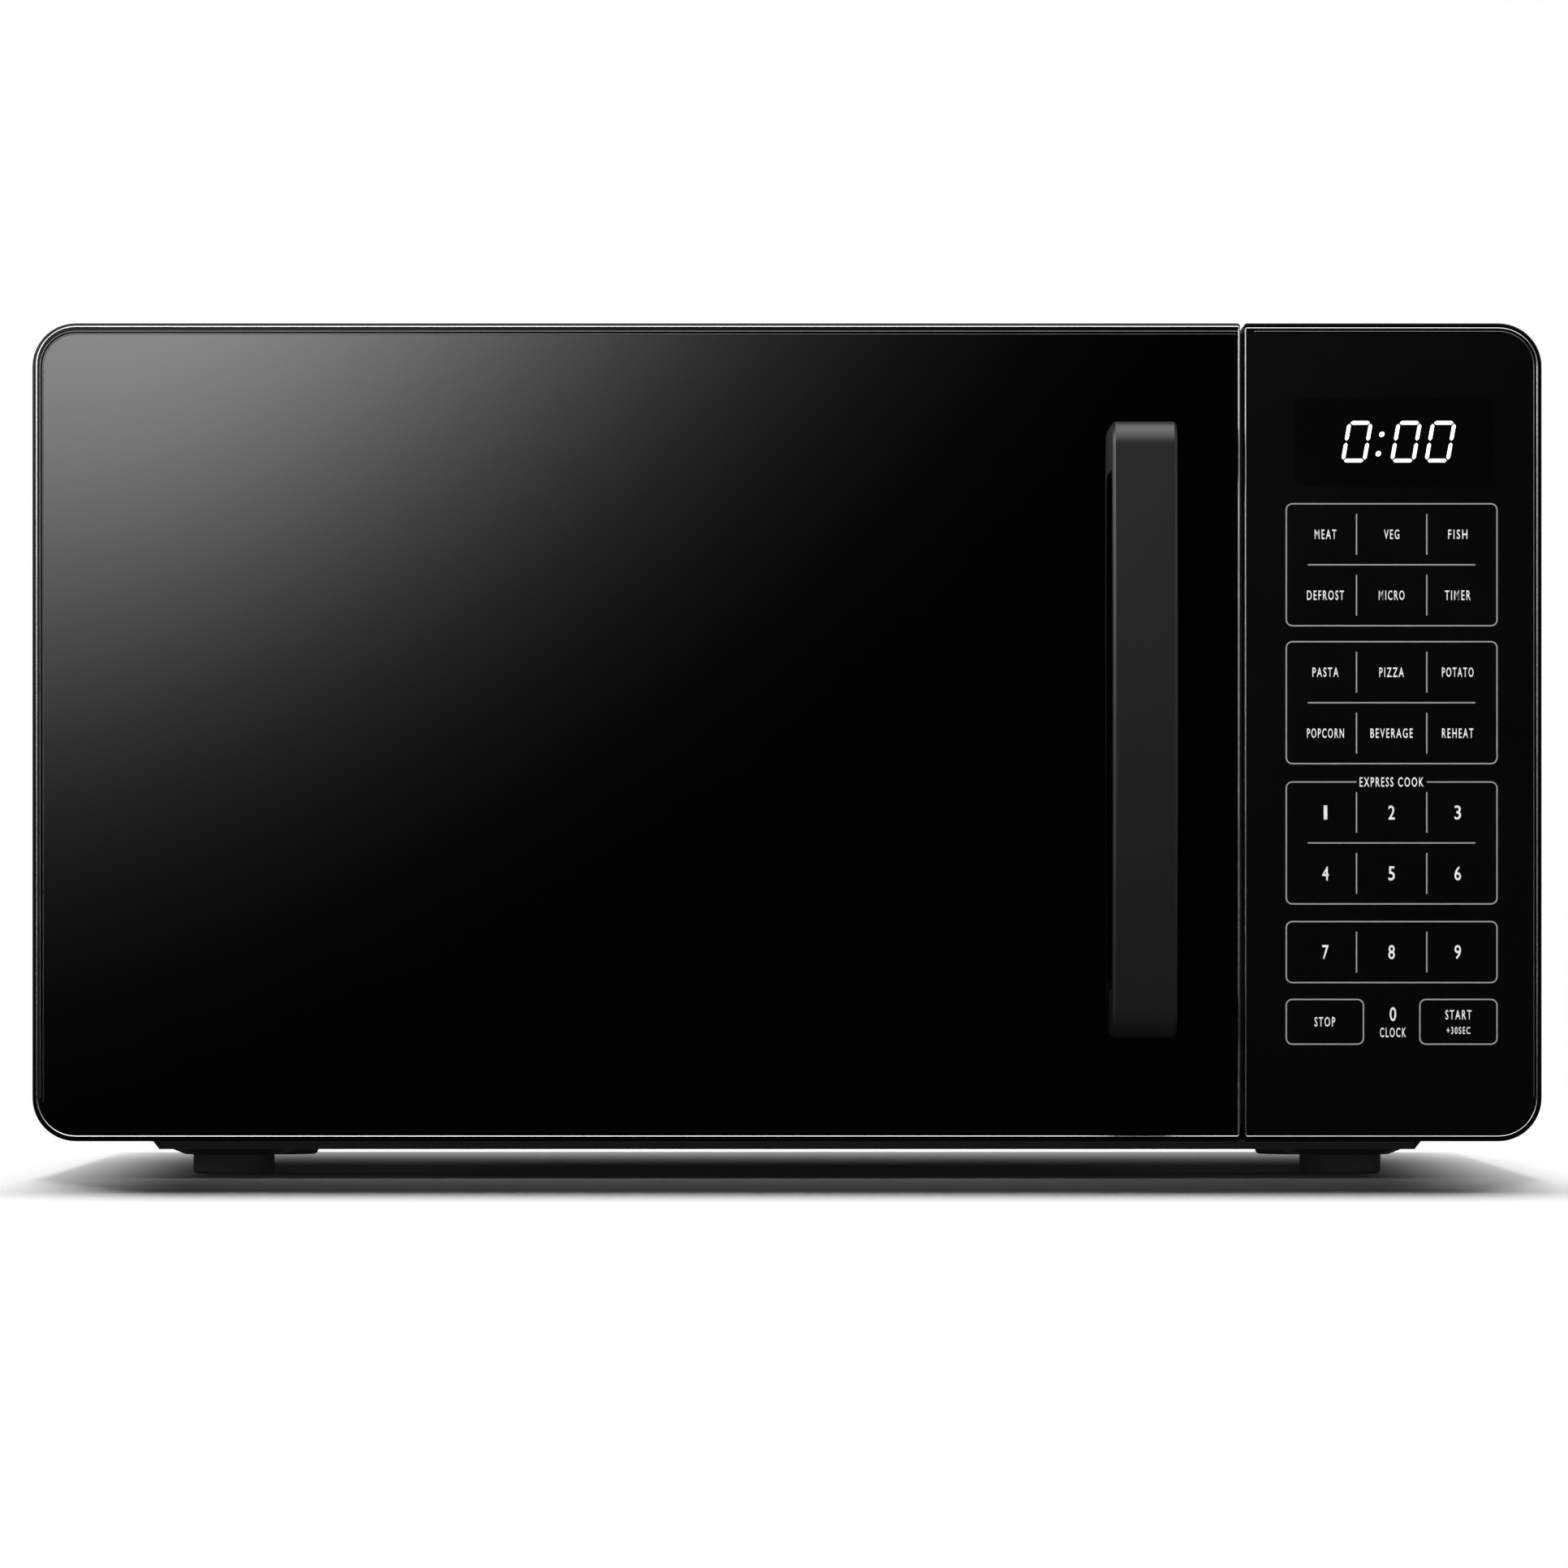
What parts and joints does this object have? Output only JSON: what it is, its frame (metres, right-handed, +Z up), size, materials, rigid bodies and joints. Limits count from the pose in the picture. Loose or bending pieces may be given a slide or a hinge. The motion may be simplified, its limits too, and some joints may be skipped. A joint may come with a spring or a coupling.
{
  "type": "microwave oven",
  "caption": "Countertop microwave oven with a side-hung black glass door, a bowed vertical handle, a flush touch panel with a display, and a glass turntable inside.",
  "frame": {"origin": "centre of the bottom face of the whole oven's bounding box, on the surface that the feet stand on", "axes": "+X to the right seen from the front, +Y to the back, +Z up"},
  "size_m": [0.452, 0.376, 0.256],
  "materials": {
    "cabinet_paint": "satin black textured paint",
    "galvanised_steel": "dull zinc coat",
    "cavity_enamel": "satin grey enamel",
    "black_glass": "polished black",
    "bezel_plastic": "dark chrome-look gloss",
    "panel_plastic": "gloss black",
    "overlay_film": "smooth satin film",
    "handle_plastic": "satin dark grey",
    "inner_plastic": "matte black",
    "clear_plastic": "clear",
    "foot_rubber": "matte",
    "tray_glass": "clear, slightly green",
    "ring_plastic": "off-white",
    "mica": "layered matte",
    "aluminium_fins": "plain",
    "ceramic_stem": "matte",
    "core_steel": "varnished laminations",
    "copper_winding": "enamelled wire",
    "circuit_board": "phenolic board",
    "component_plastic": "matte",
    "white_plastic": "matte",
    "screw_steel": "zinc plated",
    "spring_steel": "bright",
    "bulb_glass": "clear"
  },
  "bodies": {
    "oven": {"outer_cabinet": "cabinet_paint", "base_plate": "galvanised_steel", "rear_panel": "galvanised_steel", "rear_spacers": "inner_plastic", "cabinet_screws": "screw_steel", "cord_gland": "inner_plastic", "feet": "foot_rubber", "front_plate": "cavity_enamel", "cavity_wrap": "cavity_enamel", "cavity_side_left": "cavity_enamel", "cavity_side_right": "cavity_enamel", "mica_cover": "mica", "waveguide": "galvanised_steel", "magnetron_frame": "galvanised_steel", "magnetron_anode": "aluminium_fins", "magnetron_antenna": "ceramic_stem", "transformer_core": "core_steel", "transformer_windings": "copper_winding", "capacitor": "aluminium_fins", "hv_diode": "component_plastic", "fan_shroud": "inner_plastic", "fan_stator": "core_steel", "fan_coil": "copper_winding", "air_guide": "inner_plastic", "turntable_motor": "galvanised_steel", "lamp_holder": "galvanised_steel", "lamp_bulb": "bulb_glass", "thermal_cutouts": "white_plastic", "filter_board": "circuit_board", "latch_board": "white_plastic", "interlock_switches": "component_plastic", "hinge_brackets": "galvanised_steel", "hinge_pins": "screw_steel", "panel_frame": "panel_plastic", "panel_overlay": "overlay_film", "display_module": "component_plastic", "control_board": "circuit_board", "control_relays": "component_plastic"},
    "door": {"door_frame": "bezel_plastic", "door_glass": "black_glass", "door_plate": "cavity_enamel", "door_screen": "cavity_enamel", "inner_window": "clear_plastic", "choke_cover": "inner_plastic", "door_handle": "handle_plastic", "handle_screws": "screw_steel"},
    "latch": {"latch_hooks": "inner_plastic", "latch_spring": "spring_steel"},
    "fan": {"fan_rotor": "core_steel", "fan_blade": "inner_plastic"},
    "coupler": {"turntable_coupler": "ring_plastic"},
    "tray": {"glass_tray": "tray_glass"},
    "ring": {"roller_ring": "ring_plastic"},
    "roller_1": {"roller_1": "ring_plastic"},
    "roller_2": {"roller_2": "ring_plastic"},
    "roller_3": {"roller_3": "ring_plastic"},
    "lever": {"interlock_lever": "ring_plastic"},
    "primary_plunger": {"primary_plunger": "white_plastic"},
    "secondary_plunger": {"secondary_plunger": "white_plastic"},
    "monitor_plunger": {"monitor_plunger": "white_plastic"}
  },
  "joints": [
    {"name": "door_swing", "type": "hinge", "parent": "oven", "child": "door", "pos_m": [-0.219, -0.136, 0.1335], "axis": [0, 0, -1], "range_deg": [0, 105]},
    {"name": "latch_lift", "type": "slide", "parent": "door", "child": "latch", "axis": [0, 0, 1], "range_m": [0, 0.0045], "stiffness_N_per_m": 150, "springref_m": -0.008, "deforming": ["latch_spring"]},
    {"name": "fan_spin", "type": "hinge", "parent": "oven", "child": "fan", "pos_m": [0.1615, 0.163, 0.178], "axis": [0, 1, 0], "continuous": true},
    {"name": "turntable_turn", "type": "hinge", "parent": "oven", "child": "coupler", "pos_m": [-0.055, 0.0264, 0.03], "axis": [0, 0, 1], "continuous": true},
    {"name": "tray_lift", "type": "slide", "parent": "coupler", "child": "tray", "axis": [0, 0, 1], "range_m": [0, 0.06]},
    {"name": "roller_ring_turn", "type": "hinge", "parent": "oven", "child": "ring", "pos_m": [-0.055, 0.0264, 0.0322], "axis": [0, 0, 1], "continuous": true},
    {"name": "roller_1_spin", "type": "hinge", "parent": "ring", "child": "roller_1", "pos_m": [0.033, 0.0264, 0.0322], "axis": [1, 0, 0], "continuous": true},
    {"name": "roller_2_spin", "type": "hinge", "parent": "ring", "child": "roller_2", "pos_m": [-0.099, 0.10261, 0.0322], "axis": [-0.5, 0.866, 0], "continuous": true},
    {"name": "roller_3_spin", "type": "hinge", "parent": "ring", "child": "roller_3", "pos_m": [-0.099, -0.04981, 0.0322], "axis": [-0.5, -0.866, 0], "continuous": true},
    {"name": "lever_press", "type": "hinge", "parent": "oven", "child": "lever", "pos_m": [0.112, -0.104, 0.14], "axis": [1, 0, 0], "range_deg": [0, 1.2], "stiffness_Nm_per_rad": 0.3, "springref_deg": -1.15},
    {"name": "primary_press", "type": "slide", "parent": "oven", "child": "primary_plunger", "axis": [0, 1, 0], "range_m": [0, 0.0012], "stiffness_N_per_m": 400, "springref_m": -0.0005},
    {"name": "secondary_press", "type": "slide", "parent": "oven", "child": "secondary_plunger", "axis": [0, 1, 0], "range_m": [0, 0.0013]},
    {"name": "monitor_press", "type": "slide", "parent": "oven", "child": "monitor_plunger", "axis": [0, 1, 0], "range_m": [0, 0.0012]}
  ],
  "couplings": [
    {"joint": "roller_ring_turn", "follows": "turntable_turn", "ratio": 0.5},
    {"joint": "roller_1_spin", "follows": "turntable_turn", "ratio": -5.5696},
    {"joint": "roller_2_spin", "follows": "turntable_turn", "ratio": -5.5696},
    {"joint": "roller_3_spin", "follows": "turntable_turn", "ratio": -5.5696},
    {"joint": "secondary_press", "follows": "lever_press", "m_per_rad": 0.058},
    {"joint": "monitor_press", "follows": "lever_press", "m_per_rad": 0.028}
  ]
}
